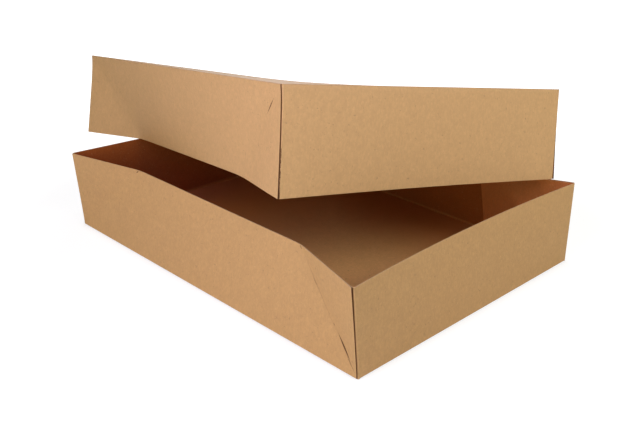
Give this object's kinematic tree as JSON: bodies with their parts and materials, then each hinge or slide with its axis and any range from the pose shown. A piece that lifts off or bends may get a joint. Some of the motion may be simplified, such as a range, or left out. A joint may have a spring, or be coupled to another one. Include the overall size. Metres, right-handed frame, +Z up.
{
  "type": "stack of cardboard trays",
  "caption": "Kraft board gift box, open: a shallow folded base tray with its folded lid tray turned over and resting askew on the rims. For packing or storing flat goods.",
  "frame": {"origin": "middle of the underside of the base tray, where it rests", "axes": "+Z up, out of the open base; +Y along the length of the base, towards the side over which the lid hangs; +X across its width"},
  "size_m": [0.3375, 0.4156, 0.1812],
  "materials": {
    "kraft_board_base": "uncoated brown kraft board",
    "kraft_board_lid": "uncoated brown kraft board"
  },
  "bodies": {
    "root": {"base_tray": "kraft_board_base", "lid_tray": "kraft_board_lid"}
  },
  "joints": []
}
